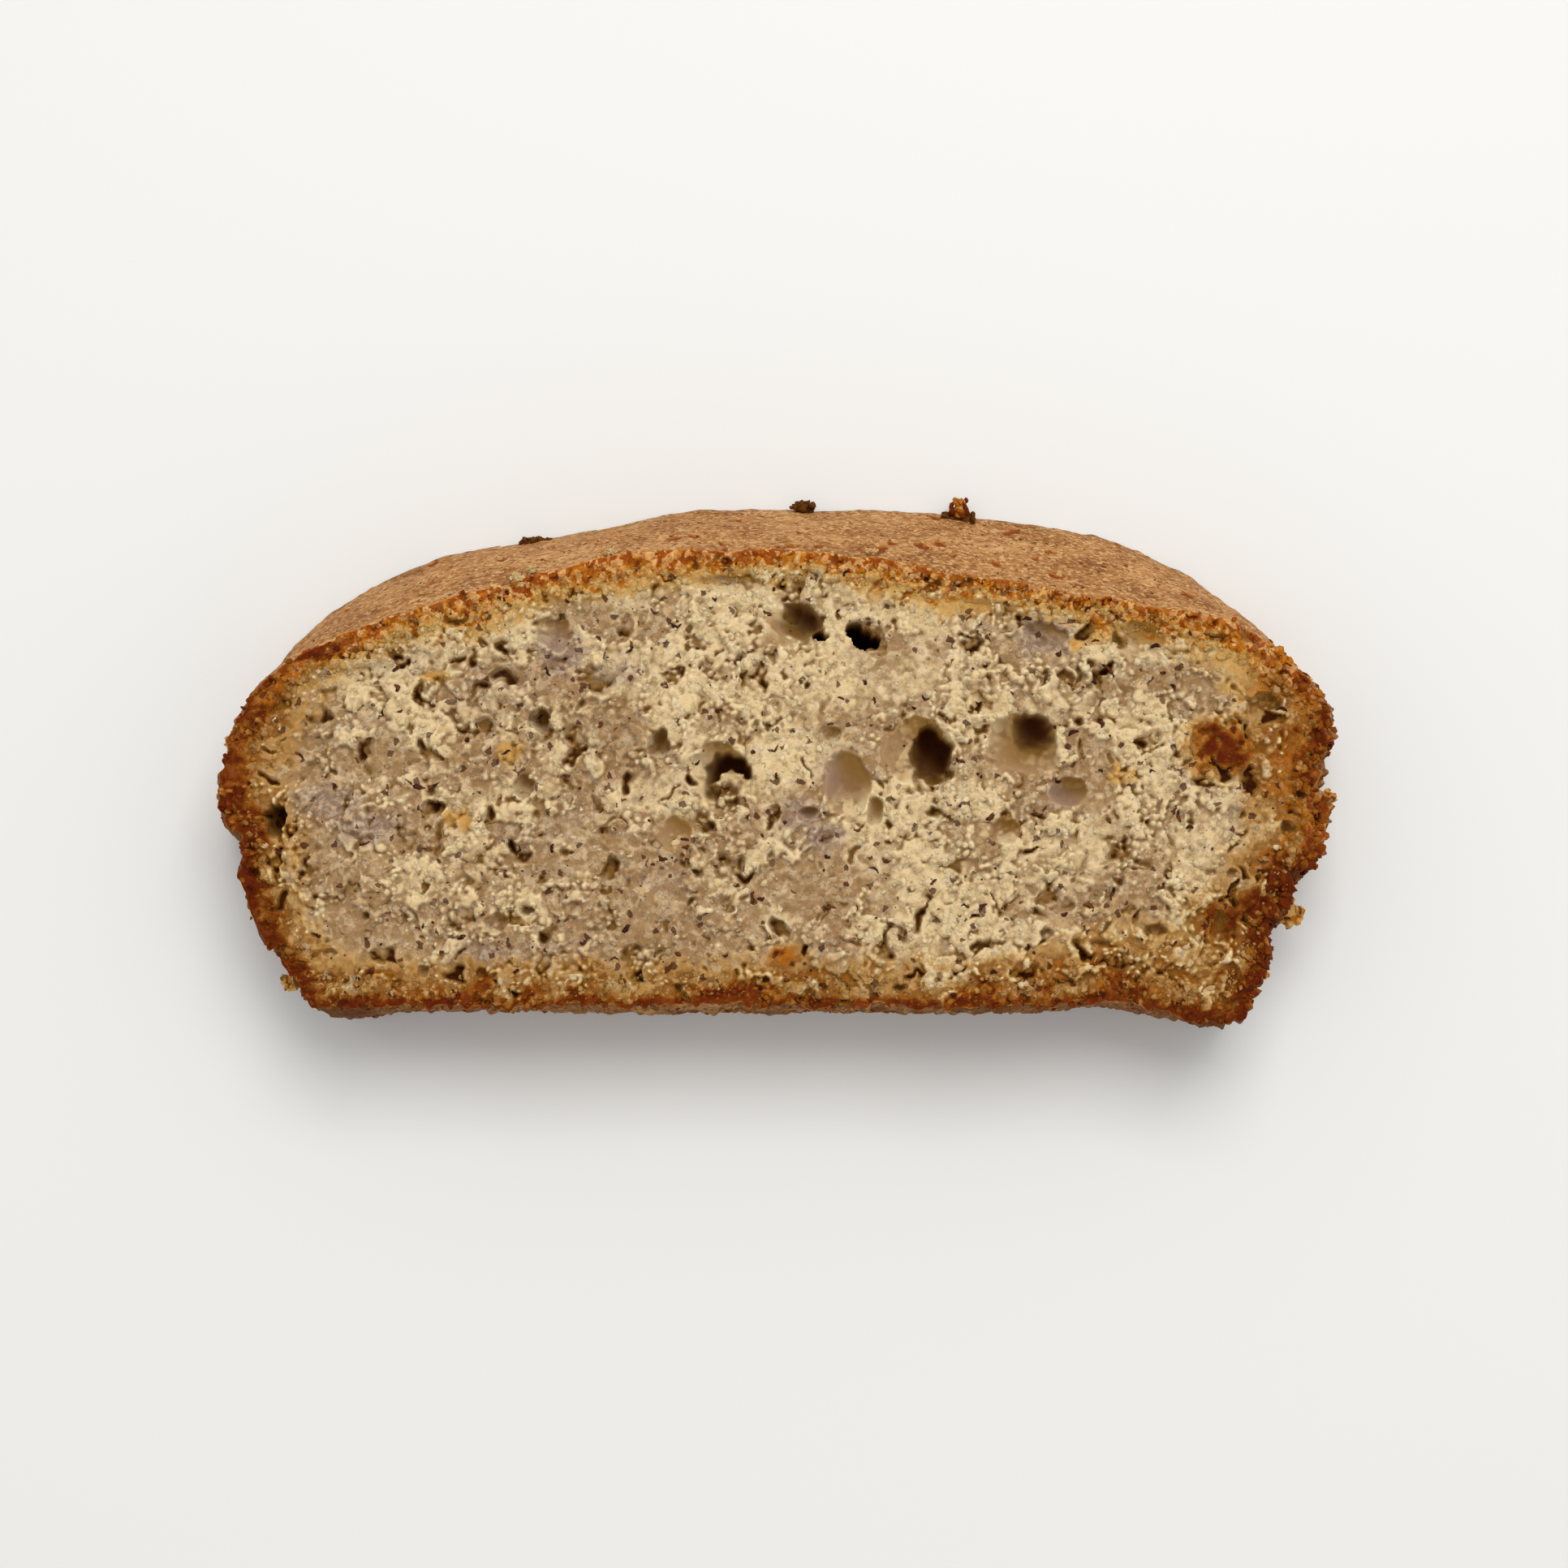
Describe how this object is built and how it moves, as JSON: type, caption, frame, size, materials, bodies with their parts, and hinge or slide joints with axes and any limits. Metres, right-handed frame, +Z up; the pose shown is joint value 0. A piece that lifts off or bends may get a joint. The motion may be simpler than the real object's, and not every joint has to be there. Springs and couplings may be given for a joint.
{
  "type": "slice of banana bread",
  "caption": "Slice of domed banana bread lying on a cut face, with a browned crust, moist speckled crumb and open air pockets.",
  "frame": {"origin": "middle of the slice's outline, on the cut face it lies on", "axes": "+X across the loaf to the crumbled end, +Y from the flat base crust to the domed top crust, +Z up through the slice"},
  "size_m": [0.1318, 0.0643, 0.0207],
  "materials": {
    "bread": null
  },
  "bodies": {
    "root": {"bread_slice": "bread"}
  },
  "joints": []
}
